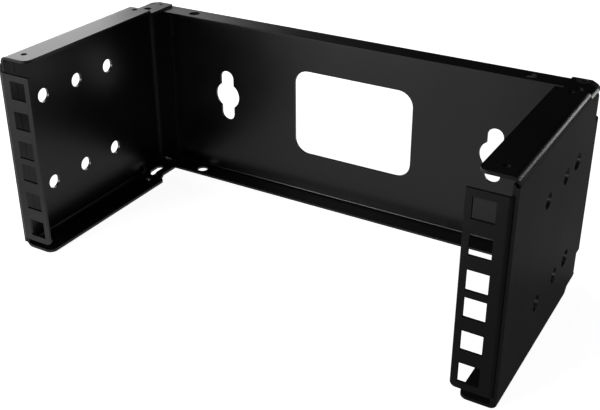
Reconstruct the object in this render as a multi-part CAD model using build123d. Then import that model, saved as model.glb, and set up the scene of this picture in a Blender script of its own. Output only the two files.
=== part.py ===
from build123d import *
import math
import os

# A small open frame rack for a wall: two side arms, two front rails and a back panel
# All sizes are in millimetres. X is across, Y runs forward to back, Z is up
# Each piece is drawn with the wall as the plane Y = 0 and the frame forward of it, at negative Y
# Z = 0 is the underside of the arms
# The finished rack is then moved back, so that Y = 0 is midway between its front and the wall

# Square holes of the rack pattern, three to each rack unit
rack_unit_count = 2
rack_hole_size = 9.5
rack_hole_pitch = 15.875
rack_hole_close_pitch = 12.7
rack_hole_column_spacing = 236.525

# Back panel, a tray folded from one sheet
panel_thickness = 1.2
panel_end_gap = 3.1
panel_depth = 13.0
panel_bend_radius = 2.0
window_width = 70.9
window_height = 49.5
window_rise = 0.75
window_corner_radius = 8.5
keyhole_from_panel_end = 45.15
keyhole_head_diameter = 15.7
keyhole_slot_width = 8.6
keyhole_height = 30.0
keyhole_rise = 0.7
tie_hole_diameter = 6.0
tie_hole_from_panel_end = 29.0
tie_hole_from_wall = 7.4
spot_diameter = 3.0
spot_height = 0.4
spot_from_panel_end = 7.0
upper_spot_rise = 28.3
lower_spot_drop = 20.0

# Side arms, each a channel folded from one sheet
arm_thickness = 1.5
arm_bend_radius = 3.5
hole_column_from_arm = 10.8375
flange_reach = 17.2
flange_setback = 1.5
flange_front_corner_radius = 4.0
flange_hole_diameter = 3.2
flange_hole_from_side = 8.7
front_flange_hole_from_end = 7.5
rear_flange_hole_from_end = 3.5
arm_rear_from_wall = 5.2
wall_end_from_wall = 13.0
tab_reach = 15.3
tab_step = 2.7
tab_step_length = 3.0
tab_ahead_of_panel = 9.4
tab_end_from_wall = 3.0
tab_inner_corner_radius = 0.8
tab_outer_corner_cut = 6.0
tab_slot_width = 4.2
tab_slot_length = 10.0
tab_slot_ahead_of_tab = 2.5
tab_slot_from_side = 8.3
band_reach = 14.3
band_corner_radius = 1.5
left_band_notch_height = 1.8
left_band_notch_gap = 0.6
right_band_end_drop = 18.3

# Round holes through the side walls, measured back from the walls' front edges
side_hole_diameter = 7.5
side_hole_rise = 24.9
left_hole_distances = [24.9, 49.9, 74.9]
right_hole_distances = [42.9, 67.9]
right_slot_distance = 84.9
right_slot_length = 9.5

# Front rails, each an L folded from one sheet
rail_thickness = 1.2
rail_bend_radius = 1.8
rail_front_from_wall = 123.4
rail_ahead_of_arm = 1.5
rail_face_width = 18.5
rail_face_margin = 1.7
rail_corner_radius = 2.5
rail_leg_depth = 9.4
rail_leg_past_face = 4.75
rail_leg_end_gap = 0.9
rail_leg_end_radius = 1.1
rail_leg_rear_radius = 1.1

# Countersunk screws that hold the arms' tabs to the panel's flanges
screw_from_panel_end = 4.7
screw_from_wall = 6.4
screw_head_diameter = 6.0
screw_thread_diameter = 3.0
screw_length = 2.9
screw_clearance = 0.05
hex_key_width = 2.0
hex_key_depth = 1.0

# Heights that follow from the rack units
rack_unit_height = 2 * rack_hole_pitch + rack_hole_close_pitch
rail_face_height = rack_unit_count * rack_unit_height + 2 * rail_face_margin
rail_leg_height = rail_face_height + 2 * rail_leg_past_face
arm_height = rail_leg_height + 2 * (rail_leg_end_gap + arm_thickness)
panel_height = arm_height - 2 * (arm_thickness + tab_step)
mid_height = arm_height / 2
panel_top = mid_height + panel_height / 2
panel_bottom = mid_height - panel_height / 2
flange_top = arm_height
tab_top = panel_top + arm_thickness
window_centre = mid_height + window_rise
keyhole_centre = mid_height + keyhole_rise

# Widths that follow from the hole columns
arm_inner = rack_hole_column_spacing / 2 + hole_column_from_arm
arm_outer = arm_inner + arm_thickness
arm_bend_inside = arm_bend_radius - arm_thickness
flange_inner = arm_outer - flange_reach
tab_inner = arm_outer - tab_reach
panel_half_width = arm_inner - panel_end_gap
keyhole_x = panel_half_width - keyhole_from_panel_end
tie_hole_x = panel_half_width - tie_hole_from_panel_end
spot_x = panel_half_width - spot_from_panel_end
screw_x = panel_half_width - screw_from_panel_end
flange_hole_x = arm_outer - flange_hole_from_side
tab_slot_x = arm_outer - tab_slot_from_side
rail_leg_inner = arm_inner - rail_thickness
rail_bend_inside = rail_bend_radius - rail_thickness

# Places from front to back, with the wall at zero
rail_front = -rail_front_from_wall
arm_front = rail_front + rail_ahead_of_arm
flange_front = arm_front + flange_setback
tab_start = -panel_depth - tab_ahead_of_panel
flange_end = tab_start - tab_step_length
tab_end = -tab_end_from_wall
tab_slot_front = tab_start - tab_slot_ahead_of_tab
arm_rear = -arm_rear_from_wall
wall_end = -wall_end_from_wall
screw_y = -screw_from_wall
screw_hole_diameter = screw_thread_diameter + 2 * screw_clearance

# Length of the tools that cut right through, and how far others pass beyond a face
cutter = 400.0
past = 1.0


def block(x_low, x_high, y_low, y_high, z_low, z_high):
    """A plain block between two corners."""
    size = (x_high - x_low, y_high - y_low, z_high - z_low)
    middle = ((x_low + x_high) / 2, (y_low + y_high) / 2, (z_low + z_high) / 2)
    return Pos(*middle) * Box(*size)


def edges_along(shape, axis, x=None, y=None, z=None):
    """Edges parallel to an axis whose middle lies at the places given."""
    found = []
    for edge in shape.edges().filter_by(axis):
        middle = edge.center()
        if x is not None and abs(middle.X - x) > 0.01:
            continue
        if y is not None and abs(middle.Y - y) > 0.01:
            continue
        if z is not None and abs(middle.Z - z) > 0.01:
            continue
        found.append(edge)
    return found


def rounded(shape, axis, radius, x=None, y=None, z=None):
    """The shape with the edges at those places rounded."""
    return fillet(edges_along(shape, axis, x, y, z), radius)


def hole_along_x(x, y, z, diameter):
    """A long cutter across the rack."""
    return Pos(x, y, z) * Rot(0, 90, 0) * Cylinder(diameter / 2, cutter)


def hole_along_z(x, y, z, diameter, height):
    """An upright cutter centred at a place."""
    return Pos(x, y, z) * Cylinder(diameter / 2, height)


def mirrored(shape, side):
    """The right-hand shape, or its twin on the left."""
    if side > 0:
        return shape
    return mirror(shape, about=Plane.YZ)


def upside_down(shape):
    """The twin of an upper shape, below the rack's mid height."""
    return mirror(shape, about=Plane.XY.offset(mid_height))


def make_back_panel():
    """The tray: a plate against the wall with a flange along its top and bottom."""
    half = panel_half_width
    outside = block(-half, half, -panel_depth, 0, panel_bottom, panel_top)
    outside = rounded(outside, Axis.X, panel_bend_radius, y=0)
    inner_top = panel_top - panel_thickness
    inner_bottom = panel_bottom + panel_thickness
    inside = block(-half - past, half + past, -panel_depth - past, -panel_thickness, inner_bottom, inner_top)
    inside = rounded(inside, Axis.X, panel_bend_radius - panel_thickness, y=-panel_thickness)
    panel = outside - inside

    # Window for cables
    window = Box(window_width, 4 * panel_thickness, window_height)
    window = fillet(window.edges().filter_by(Axis.Y), window_corner_radius)
    panel -= Pos(0, 0, window_centre) * window

    # Keyholes with a slot both ways, so the rack hangs either way up
    slot_straight = keyhole_height - keyhole_slot_width
    for side in (-1, 1):
        place = Pos(side * keyhole_x, 0, keyhole_centre) * Rot(90, 0, 0)
        panel -= place * Cylinder(keyhole_head_diameter / 2, 4 * panel_thickness)
        panel -= place * Box(keyhole_slot_width, slot_straight, 4 * panel_thickness)
        for end in (-1, 1):
            round_end = Cylinder(keyhole_slot_width / 2, 4 * panel_thickness)
            panel -= place * Pos(0, end * slot_straight / 2, 0) * round_end

    # Holes through both flanges
    for side in (-1, 1):
        tie_x = side * tie_hole_x
        panel -= hole_along_z(tie_x, -tie_hole_from_wall, mid_height, tie_hole_diameter, cutter)
        panel -= hole_along_z(side * screw_x, screw_y, mid_height, screw_hole_diameter, cutter)

    # Small raised spots on the plate's front
    for side in (-1, 1):
        for spot_z in (mid_height + upper_spot_rise, mid_height - lower_spot_drop):
            spot = Cylinder(spot_diameter / 2, spot_height)
            spot_y = -panel_thickness - spot_height / 2
            panel += Pos(side * spot_x, spot_y, spot_z) * Rot(90, 0, 0) * spot
    return panel


def arm_side_outline(inset):
    """The arm's side outline, with the flanges stepped down to the tabs at the rear."""
    step_angle = math.atan2(tab_step, tab_step_length)
    shift = inset * math.tan(step_angle / 2)
    upper = [(arm_front - inset, flange_top - inset), (flange_end - shift, flange_top - inset)]
    upper += [(tab_start - shift, tab_top - inset), (tab_end + inset, tab_top - inset)]
    lower = [(y, arm_height - z) for y, z in reversed(upper)]
    return upper + lower


def plate_along_x(points, x_low, x_high):
    """A plate cut to an outline of (Y, Z) points and spread from one X to another."""
    outline = Plane.YZ * Polygon(*points, align=None)
    return Pos(x_low, 0, 0) * extrude(outline, x_high - x_low, dir=(1, 0, 0))


def rounded_along_flanges(shape, x, radius):
    """The shape with its edges at one X rounded, apart from the upright ones at its ends."""
    bends = []
    for edge in shape.edges():
        middle = edge.center()
        upright = abs(edge.tangent_at(0.5).Z) > 0.99
        if abs(middle.X - x) < 0.01 and not upright:
            bends.append(edge)
    return fillet(bends, radius)


def make_arm(side):
    """A side arm: wall, two flanges, a stepped-down tab behind each and a narrow rear band."""
    outside = plate_along_x(arm_side_outline(0), flange_inner, arm_outer)
    outside = rounded_along_flanges(outside, arm_outer, arm_bend_radius)
    inside = plate_along_x(arm_side_outline(arm_thickness), flange_inner - past, arm_inner)
    inside = rounded_along_flanges(inside, arm_inner, arm_bend_inside)
    arm = outside - inside

    # The wall ends ahead of the tabs' rear ends
    bend_start = arm_inner - arm_bend_inside
    arm -= block(bend_start, arm_outer + past, wall_end, past, panel_bottom, panel_top)

    # Rear band, folded inwards from a tail of the wall
    band_end_drop = right_band_end_drop if side > 0 else panel_bottom
    band_top = arm_height - band_end_drop
    band_inner = arm_outer - band_reach
    band_front = arm_rear - arm_thickness
    tail = block(arm_inner, arm_outer, wall_end, arm_rear, band_end_drop, band_top)
    band = block(band_inner, arm_outer, band_front, arm_rear, band_end_drop, band_top)
    band = tail + rounded(band, Axis.Y, band_corner_radius, x=band_inner)
    band = rounded(band, Axis.Z, arm_bend_radius, x=arm_outer, y=arm_rear)
    arm += rounded(band, Axis.Z, arm_bend_inside, x=arm_inner, y=band_front)

    # The left band reaches the tabs, with its ends notched round the panel's flanges
    if side < 0:
        notch_side = panel_half_width + left_band_notch_gap
        y_low = band_front - past
        y_high = arm_rear + past
        notch_top = panel_bottom + left_band_notch_height
        for low, high in ((panel_bottom, notch_top), (arm_height - notch_top, panel_top)):
            arm -= block(band_inner - past, notch_side, y_low, y_high, low, high)

    # Flange fronts set back a little from the wall's front edge
    x_low = flange_inner - past
    x_high = arm_outer + past
    y_low = arm_front - past
    arm -= block(x_low, x_high, y_low, flange_front, -past, arm_bend_radius)
    arm -= block(x_low, x_high, y_low, flange_front, flange_top - arm_bend_radius, flange_top + past)

    # Tabs narrower than the flanges
    arm -= block(x_low, tab_inner, flange_end, past, -past, arm_height + past)
    arm = rounded(arm, Axis.Z, flange_front_corner_radius, x=flange_inner, y=flange_front)
    arm = rounded(arm, Axis.Z, tab_inner_corner_radius, x=flange_inner, y=flange_end)
    arm = rounded(arm, Axis.Z, tab_inner_corner_radius, x=tab_inner, y=tab_end)

    # Outer rear corners of the tabs cut off aslant
    cut_start = tab_end - tab_outer_corner_cut
    corner = Polygon(
        (arm_outer - tab_outer_corner_cut, tab_end + past),
        (arm_outer - tab_outer_corner_cut, tab_end),
        (arm_outer, cut_start),
        (arm_outer + past, cut_start),
        (arm_outer + past, tab_end + past),
        align=None,
    )
    arm -= Pos(0, 0, panel_top - past) * extrude(corner, flange_top)
    arm -= Pos(0, 0, panel_bottom + past) * extrude(corner, -flange_top)

    # Holes through the flanges
    front_hole_y = flange_front + front_flange_hole_from_end
    rear_hole_y = flange_end - rear_flange_hole_from_end
    for hole_y in (front_hole_y, rear_hole_y):
        arm -= hole_along_z(flange_hole_x, hole_y, mid_height, flange_hole_diameter, cutter)

    # Long slot through each tab
    slot_straight = tab_slot_length - tab_slot_width
    slot_middle = tab_slot_front + tab_slot_length / 2
    slot = Box(tab_slot_width, slot_straight, cutter)
    for end in (-1, 1):
        slot += Pos(0, end * slot_straight / 2, 0) * Cylinder(tab_slot_width / 2, cutter)
    arm -= Pos(tab_slot_x, slot_middle, mid_height) * slot

    # Countersunk screw holes through the tabs
    head_hole = screw_head_diameter / 2 + screw_clearance
    shank_hole = screw_thread_diameter / 2 + screw_clearance
    for flip in (False, True):
        sink = Pos(screw_x, screw_y, tab_top - arm_thickness / 2)
        sink *= Cone(shank_hole, head_hole, arm_thickness)
        arm -= upside_down(sink) if flip else sink

    # Holes through the side wall
    if side < 0:
        for distance in left_hole_distances:
            for rise in (-side_hole_rise, side_hole_rise):
                y = arm_front + distance
                arm -= hole_along_x(0, y, mid_height + rise, side_hole_diameter)
    else:
        for distance in right_hole_distances:
            for rise in (-side_hole_rise, side_hole_rise):
                y = arm_front + distance
                arm -= hole_along_x(0, y, mid_height + rise, side_hole_diameter)
        half_straight = (right_slot_length - side_hole_diameter) / 2
        for rise in (-side_hole_rise, side_hole_rise):
            z = mid_height + rise
            for end in (-1, 1):
                y = arm_front + right_slot_distance + end * half_straight
                arm -= hole_along_x(0, y, z, side_hole_diameter)
            straight = Box(cutter, 2 * half_straight, side_hole_diameter)
            arm -= Pos(0, arm_front + right_slot_distance, z) * straight
    return mirrored(arm, side)


def make_rail(side):
    """A front rail: a face with the square holes and a leg against the arm's wall."""
    face_inner = arm_inner - rail_face_width
    front = rail_front
    rear = front + rail_leg_depth
    leg_bottom = mid_height - rail_leg_height / 2
    leg_top = mid_height + rail_leg_height / 2
    outside = block(face_inner, arm_inner, front, rear, leg_bottom, leg_top)
    outside = rounded(outside, Axis.Z, rail_bend_radius, x=arm_inner, y=front)
    face_back = front + rail_thickness
    low = leg_bottom - past
    high = leg_top + past
    inside = block(face_inner - past, rail_leg_inner, face_back, rear + past, low, high)
    inside = rounded(inside, Axis.Z, rail_bend_inside, x=rail_leg_inner, y=face_back)
    rail = outside - inside

    # The face is shorter than the leg
    face_bottom = mid_height - rail_face_height / 2
    face_top = mid_height + rail_face_height / 2
    bend_end = front + rail_bend_radius
    x_low = face_inner - past
    x_high = arm_inner + past
    rail -= block(x_low, x_high, front - past, bend_end, low, face_bottom)
    rail -= block(x_low, x_high, front - past, bend_end, face_top, high)
    rail = rounded(rail, Axis.Y, rail_corner_radius, x=face_inner, z=face_bottom)

    # The leg's rear edge is rounded on the inside, and its ends follow the arm's bends
    rail = rounded(rail, Axis.Z, rail_leg_rear_radius, x=rail_leg_inner, y=rear)
    for end_z in (leg_bottom, leg_top):
        rail = rounded(rail, Axis.Y, rail_leg_end_radius, x=arm_inner, z=end_z)

    # Square holes, three to each rack unit
    column_x = rack_hole_column_spacing / 2
    for unit in range(rack_unit_count):
        unit_middle = mid_height + (unit - (rack_unit_count - 1) / 2) * rack_unit_height
        for row in (-1, 0, 1):
            hole = Box(rack_hole_size, 4 * rail_thickness, rack_hole_size)
            rail -= Pos(column_x, front, unit_middle + row * rack_hole_pitch) * hole
    return mirrored(rail, side)


def make_screw(side, upper):
    """A countersunk socket screw, flush with the top of its tab."""
    head_height = arm_thickness
    head = Pos(0, 0, -head_height / 2)
    head *= Cone(screw_thread_diameter / 2, screw_head_diameter / 2, head_height)
    shank = Pos(0, 0, -screw_length / 2) * Cylinder(screw_thread_diameter / 2, screw_length)
    key = extrude(RegularPolygon(hex_key_width / 2, 6, major_radius=False), -hex_key_depth)
    screw = Pos(side * screw_x, screw_y, tab_top) * (head + shank - key)
    return screw if upper else upside_down(screw)


pieces = {"back_panel": make_back_panel()}
for side, word in ((-1, "left"), (1, "right")):
    pieces[f"{word}_arm"] = make_arm(side)
    pieces[f"{word}_rail"] = make_rail(side)
    for upper, level in ((True, "top"), (False, "bottom")):
        pieces[f"{word}_{level}_screw"] = make_screw(side, upper)

os.makedirs("parts", exist_ok=True)
for name, piece in pieces.items():
    placed = Pos(0, rail_front_from_wall / 2, 0) * piece
    export_step(placed, f"parts/{name}.step")
    print(name, round(piece.volume, 1), len(piece.solids()))
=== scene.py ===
import math

import bpy
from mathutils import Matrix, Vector


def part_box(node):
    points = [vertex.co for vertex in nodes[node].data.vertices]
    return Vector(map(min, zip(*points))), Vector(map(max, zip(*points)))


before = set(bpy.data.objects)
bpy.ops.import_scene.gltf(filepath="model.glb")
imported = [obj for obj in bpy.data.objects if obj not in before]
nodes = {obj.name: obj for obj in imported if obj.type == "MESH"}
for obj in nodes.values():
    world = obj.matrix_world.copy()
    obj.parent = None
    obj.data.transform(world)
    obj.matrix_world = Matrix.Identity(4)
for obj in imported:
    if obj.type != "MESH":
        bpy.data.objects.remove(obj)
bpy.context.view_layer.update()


# The back panel
# A tray folded from one steel sheet, with a flange along its top and bottom
# It is powder coated in satin black and hangs on two wall screws by its keyholes

white = (1.0, 1.0, 1.0, 1.0)
black = (0.003, 0.003, 0.0032)
coat_roughness = 0.30

# Patterns in the coat, by how fine each is
peel_scale = 900.0
grain_scale = 3200.0
cloud_scale = 26.0
nib_scale = 140.0
nib_size = 0.03
coat_relief = 0.0002
coat_relief_strength = 0.12
fold_dullness = 0.4


class Shade:
    """A shader socket that takes part in Python arithmetic, each step one Math node."""

    def __init__(self, tree, socket):
        self.tree = tree
        self.socket = socket

    def step(self, operation, first, second, clamp=False):
        made = self.tree.nodes.new("ShaderNodeMath")
        made.operation = operation
        made.use_clamp = clamp
        for place, value in enumerate((first, second)):
            if isinstance(value, Shade):
                self.tree.links.new(value.socket, made.inputs[place])
            else:
                made.inputs[place].default_value = value
        return Shade(self.tree, made.outputs[0])

    def make(self, kind, settings, inputs, output=0):
        """Any other node, from its type, its settings and its inputs by name or number."""
        made = self.tree.nodes.new(kind)
        for name, value in settings.items():
            setattr(made, name, value)
        for name, value in inputs.items():
            if isinstance(value, Shade):
                self.tree.links.new(value.socket, made.inputs[name])
            else:
                made.inputs[name].default_value = value
        return Shade(self.tree, made.outputs[output])

    def __add__(self, other):
        return self.step("ADD", self, other)

    def __sub__(self, other):
        return self.step("SUBTRACT", self, other)

    def __rsub__(self, other):
        return self.step("SUBTRACT", other, self)

    def __mul__(self, other):
        return self.step("MULTIPLY", self, other)

    def __truediv__(self, other):
        return self.step("DIVIDE", self, other)

    def clamped(self):
        return self.step("MULTIPLY", self, 1.0, clamp=True)


def new_material(name):
    """An empty material, with its Principled shader and a start for its expressions."""
    material = bpy.data.materials.new(name)
    material.use_nodes = True
    tree = material.node_tree
    surface = tree.nodes["Principled BSDF"]
    place = tree.nodes.new("ShaderNodeTexCoord")
    return material, tree, surface, Shade(tree, place.outputs["Object"])


def noise(place, scale, detail, roughness):
    """A noise pattern at a place."""
    inputs = {"Vector": place, "Scale": scale, "Detail": detail, "Roughness": roughness}
    return place.make("ShaderNodeTexNoise", {}, inputs)


def component(place, number):
    """One of a place's three numbers."""
    return place.make("ShaderNodeSeparateXYZ", {}, {0: place}, output=number)


def mixed_tone(factor, tone, darkest, lightest):
    """A colour that varies round a tone, between two multiples of it."""
    dark = tuple(darkest * part for part in tone)
    light = tuple(lightest * part for part in tone)
    inputs = {"Factor": factor, 6: (*dark, 1.0), 7: (*light, 1.0)}
    return factor.make("ShaderNodeMix", {"data_type": "RGBA"}, inputs, output=2)


def join(tree, surface, colour, roughness, normal):
    """Joins a material's three expressions to its Principled shader."""
    tree.links.new(colour.socket, surface.inputs["Base Color"])
    tree.links.new(roughness.socket, surface.inputs["Roughness"])
    tree.links.new(normal.socket, surface.inputs["Normal"])


def powder_coat(name, seed, fold=None):
    """Satin black powder coat with a fine orange peel and a few dust nibs, duller in a fold."""
    material, tree, surface, place = new_material(name)
    moved = {"Vector": place, "Location": (seed, seed * 0.7, 0.0)}
    shifted = place.make("ShaderNodeMapping", {}, moved)

    # Orange peel of about a millimetre, over a finer grain
    peel = noise(shifted, peel_scale, 2.0, 0.5)
    grain = noise(shifted, grain_scale, 1.0, 0.5)
    cloud = noise(shifted, cloud_scale, 3.0, 0.55)
    cell_inputs = {"Vector": shifted, "Scale": nib_scale, "Randomness": 1.0}
    cells = place.make("ShaderNodeTexVoronoi", {}, cell_inputs)
    nib = (1.0 - cells / nib_size).clamped()

    height = peel * 0.7 + grain * 0.3 + nib * 0.6
    relief = {"Strength": coat_relief_strength, "Distance": coat_relief, "Height": height}
    bump = place.make("ShaderNodeBump", {}, relief)
    colour = mixed_tone((cloud * 0.8 + grain * 0.2).clamped(), black, 0.8, 1.25)
    dull = (cloud - 0.5) * 0.10 + (peel - 0.5) * 0.05 + coat_roughness
    if fold:
        fold_x, fold_y, fold_reach = fold
        across = component(place, 0) - fold_x
        along = component(place, 1) - fold_y
        near = (1.0 - (across * across + along * along) / (fold_reach * fold_reach)).clamped()
        dull = dull + near * fold_dullness

    join(tree, surface, colour, dull, bump)
    return material


def wear(node, material):
    """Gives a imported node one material."""
    nodes[node].data.materials.clear()
    nodes[node].data.materials.append(material)


wear("back_panel", powder_coat("panel_coat", 0.13))


# The side arms
# Each is one folded sheet: a wall, two flanges, a rear band and tabs on the panel's flanges
# The same satin black powder coat, duller in the inner fold between wall and rear band

# Each fold's place across and along, and how far its dullness reaches
left_fold = (-0.1285, 0.0545, 0.004)
right_fold = (0.1285, 0.0545, 0.004)
wear("left_arm", powder_coat("left_arm_coat", 0.47, left_fold))
wear("right_arm", powder_coat("right_arm_coat", 0.81, right_fold))


# The front rails
# Thin L-shaped strips with square holes, spot welded to the inside of the arms
# Coated together with the arms

wear("left_rail", powder_coat("left_rail_coat", 1.21))
wear("right_rail", powder_coat("right_rail_coat", 1.67))


# The countersunk screws
# Black finished steel, turned and flush with the tabs, two to each arm
# Turning rings show faintly round each head

screw_tone = (0.02, 0.02, 0.021)
screw_roughness = 0.36
ring_scale = 1400.0
ring_relief = 0.0001
ring_relief_strength = 0.15
stain_scale = 420.0


def turned_steel(name, seed, middle):
    """Turned steel: fine rings about the screw's own axis and a soft stain."""
    material, tree, surface, place = new_material(name)
    moved = {"Vector": place, "Location": (-middle.x, -middle.y, 0.0)}
    centred = place.make("ShaderNodeMapping", {}, moved)
    rings = place.make(
        "ShaderNodeTexWave",
        {"wave_type": "RINGS", "rings_direction": "Z"},
        {"Vector": centred, "Scale": ring_scale, "Distortion": 0.4, "Detail": 1.0},
        output=1,
    )
    stain = noise(centred, stain_scale + seed, 3.0, 0.6)
    relief = {"Strength": ring_relief_strength, "Distance": ring_relief, "Height": rings}
    bump = place.make("ShaderNodeBump", {}, relief)
    colour = mixed_tone(stain, screw_tone, 0.7, 1.3)
    dull = (stain - 0.5) * 0.2 + rings * 0.05 + screw_roughness
    join(tree, surface, colour, dull, bump)
    return material


screws = ("left_top_screw", "left_bottom_screw", "right_top_screw", "right_bottom_screw")
for number, node in enumerate(screws):
    low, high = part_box(node)
    wear(node, turned_steel(node + "_finish", number, (low + high) / 2))


# The floor and the backdrop
# A pale sheet under the rack that keeps its soft shadow, and white all round
# In the rack's reflections the sheet glows in strips, a painted reflection: bright behind,
# dimmer inside, hardly at all on the right

floor_size = 14.0
floor_drop = 0.0002
pale_grey = (0.86, 0.86, 0.86, 1.0)
# Painted shade: a darker grey copy of the sheet, for the rack's shadow on the floor as
# reflected on the right and for light bounced off the sheet
painted_shade_grey = (0.30, 0.30, 0.30, 1.0)
floor_white = 0.9

# Where the painted reflection strips end, how sharply, and how bright each glows in the rack's
# reflections
right_edge = 0.125
right_edge_slant = 0.45
rack_half_depth = 0.062
strip_sharpness = 200.0
front_left_end = -0.16
front_left_sharpness = 25.0
front_glow = 0.19
inside_glow = 0.31
extra_rear_glow = 0.5
right_glow = 0.022
backdrop_glow = 0.006

bpy.ops.object.select_all(action="DESELECT")
bpy.ops.mesh.primitive_plane_add(size=floor_size, location=(0.0, 0.0, -floor_drop))
floor = bpy.context.object
floor.name = "floor"
floor_material = bpy.data.materials.new("floor_paper")
floor_material.use_nodes = True
floor_tree = floor_material.node_tree
floor_tree.nodes.clear()
floor_rays = floor_tree.nodes.new("ShaderNodeLightPath")
floor_camera = Shade(floor_tree, floor_rays.outputs["Is Camera Ray"])
floor_glossy = Shade(floor_tree, floor_rays.outputs["Is Glossy Ray"])
floor_place = floor_camera.make("ShaderNodeTexCoord", {}, {}, output=3)
across = component(floor_place, 0)
along = component(floor_place, 1)

in_front = (0.0 - along).clamped()
slanted_edge = right_edge - in_front * right_edge_slant
left_of_edge = ((slanted_edge - across) * strip_sharpness + 0.5).clamped()
past_front = ((along + rack_half_depth) * strip_sharpness + 0.5).clamped()
past_rear = ((along - rack_half_depth) * strip_sharpness + 0.5).clamped()
right_of_end = ((across - front_left_end) * front_left_sharpness + 0.5).clamped()
front_part = (1.0 - past_front) * right_of_end
inner = front_part * front_glow + past_front * inside_glow + past_rear * extra_rear_glow
# Painted reflection: how brightly the sheet glows where the rack reflects it, strip by strip
painted_reflection_glow = left_of_edge * inner + (1.0 - left_of_edge) * right_glow

paper = floor_camera.make("ShaderNodeBsdfDiffuse", {}, {"Color": pale_grey})
# Painted shade: the darker sheet seen in reflections right of the edge and by all bounced light
painted_shade_paper = floor_camera.make("ShaderNodeBsdfDiffuse", {}, {"Color": painted_shade_grey})
paper_share = (floor_camera + floor_glossy * left_of_edge).clamped()
lit = floor_camera.make("ShaderNodeMixShader", {}, {0: paper_share, 1: painted_shade_paper, 2: paper})
glow = floor_camera.make("ShaderNodeEmission", {}, {"Color": white, "Strength": 1.0})
glow_share = floor_camera * floor_white + floor_glossy * painted_reflection_glow
glowing = floor_camera.make("ShaderNodeMixShader", {}, {0: glow_share, 2: glow})
seen = floor_camera.make("ShaderNodeAddShader", {}, {0: lit, 1: glowing})
floor_out = floor_tree.nodes.new("ShaderNodeOutputMaterial")
floor_tree.links.new(seen.socket, floor_out.inputs["Surface"])
floor.data.materials.append(floor_material)

world = bpy.data.worlds.new("studio")
world.use_nodes = True
sky_tree = world.node_tree
sky_tree.nodes.clear()
sky_rays = sky_tree.nodes.new("ShaderNodeLightPath")
sky_camera = Shade(sky_tree, sky_rays.outputs["Is Camera Ray"])
bright = sky_camera.make("ShaderNodeBackground", {}, {"Color": white, "Strength": 1.0})
dim = sky_camera.make("ShaderNodeBackground", {}, {"Color": white, "Strength": backdrop_glow})
backdrop = sky_camera.make("ShaderNodeMixShader", {}, {0: sky_camera, 1: dim, 2: bright})
sky_out = sky_tree.nodes.new("ShaderNodeOutputWorld")
sky_tree.links.new(backdrop.socket, sky_out.inputs["Surface"])
bpy.context.scene.world = world


# The lights
# Low soft boxes round the rack, the brightest in front on the left, and three higher ones
# Each faces the rack's middle

rack_middle = Vector((0.0, 0.0, 0.055))
low_box = (0.68, 0.36)
small_box = (0.3, 0.2)
high_box = (0.8, 0.5)
top_box = (0.9, 0.9)


def soft_box(name, place, size, radiance):
    """A rectangular light that faces the rack, as bright as its radiance says."""
    width, height = size
    data = bpy.data.lights.new(name, "AREA")
    data.shape = "RECTANGLE"
    data.size = width
    data.size_y = height
    data.energy = radiance * width * height * math.pi
    lamp = bpy.data.objects.new(name, data)
    bpy.context.scene.collection.objects.link(lamp)
    lamp.location = place
    lamp.rotation_euler = (Vector(place) - rack_middle).to_track_quat("Z", "Y").to_euler()


soft_box("front_left", (-0.644, -1.115, 0.24), low_box, 13.5)
soft_box("left", (-1.115, -0.644, 0.24), low_box, 5.2)
soft_box("left_behind", (-1.115, 0.644, 0.24), low_box, 4.8)
soft_box("right_behind", (1.115, 0.644, 0.24), low_box, 1.2)
soft_box("behind", (0.515, 1.157, 0.342), small_box, 6.0)
soft_box("high_right", (0.780, -0.780, 0.739), high_box, 0.66)
soft_box("high_left", (-0.903, 0.632, 0.739), high_box, 2.3)
soft_box("overhead", (0.0, 0.0, 1.35), top_box, 0.4)


# The camera
# At the photograph's own angle, a little above the rack and to its right

camera_data = bpy.data.cameras.new("camera")
camera_data.sensor_width = 36.0
camera_data.lens = 57.5738
camera_data.shift_x = 0.0001
camera_data.shift_y = -0.0586
camera = bpy.data.objects.new("camera", camera_data)
bpy.context.scene.collection.objects.link(camera)
camera.location = (0.217267, -0.364415, 0.264085)
camera.rotation_euler = (1.1076079, 0.0031275, 0.5297041)
bpy.context.scene.camera = camera

bpy.context.scene.view_settings.view_transform = "Standard"
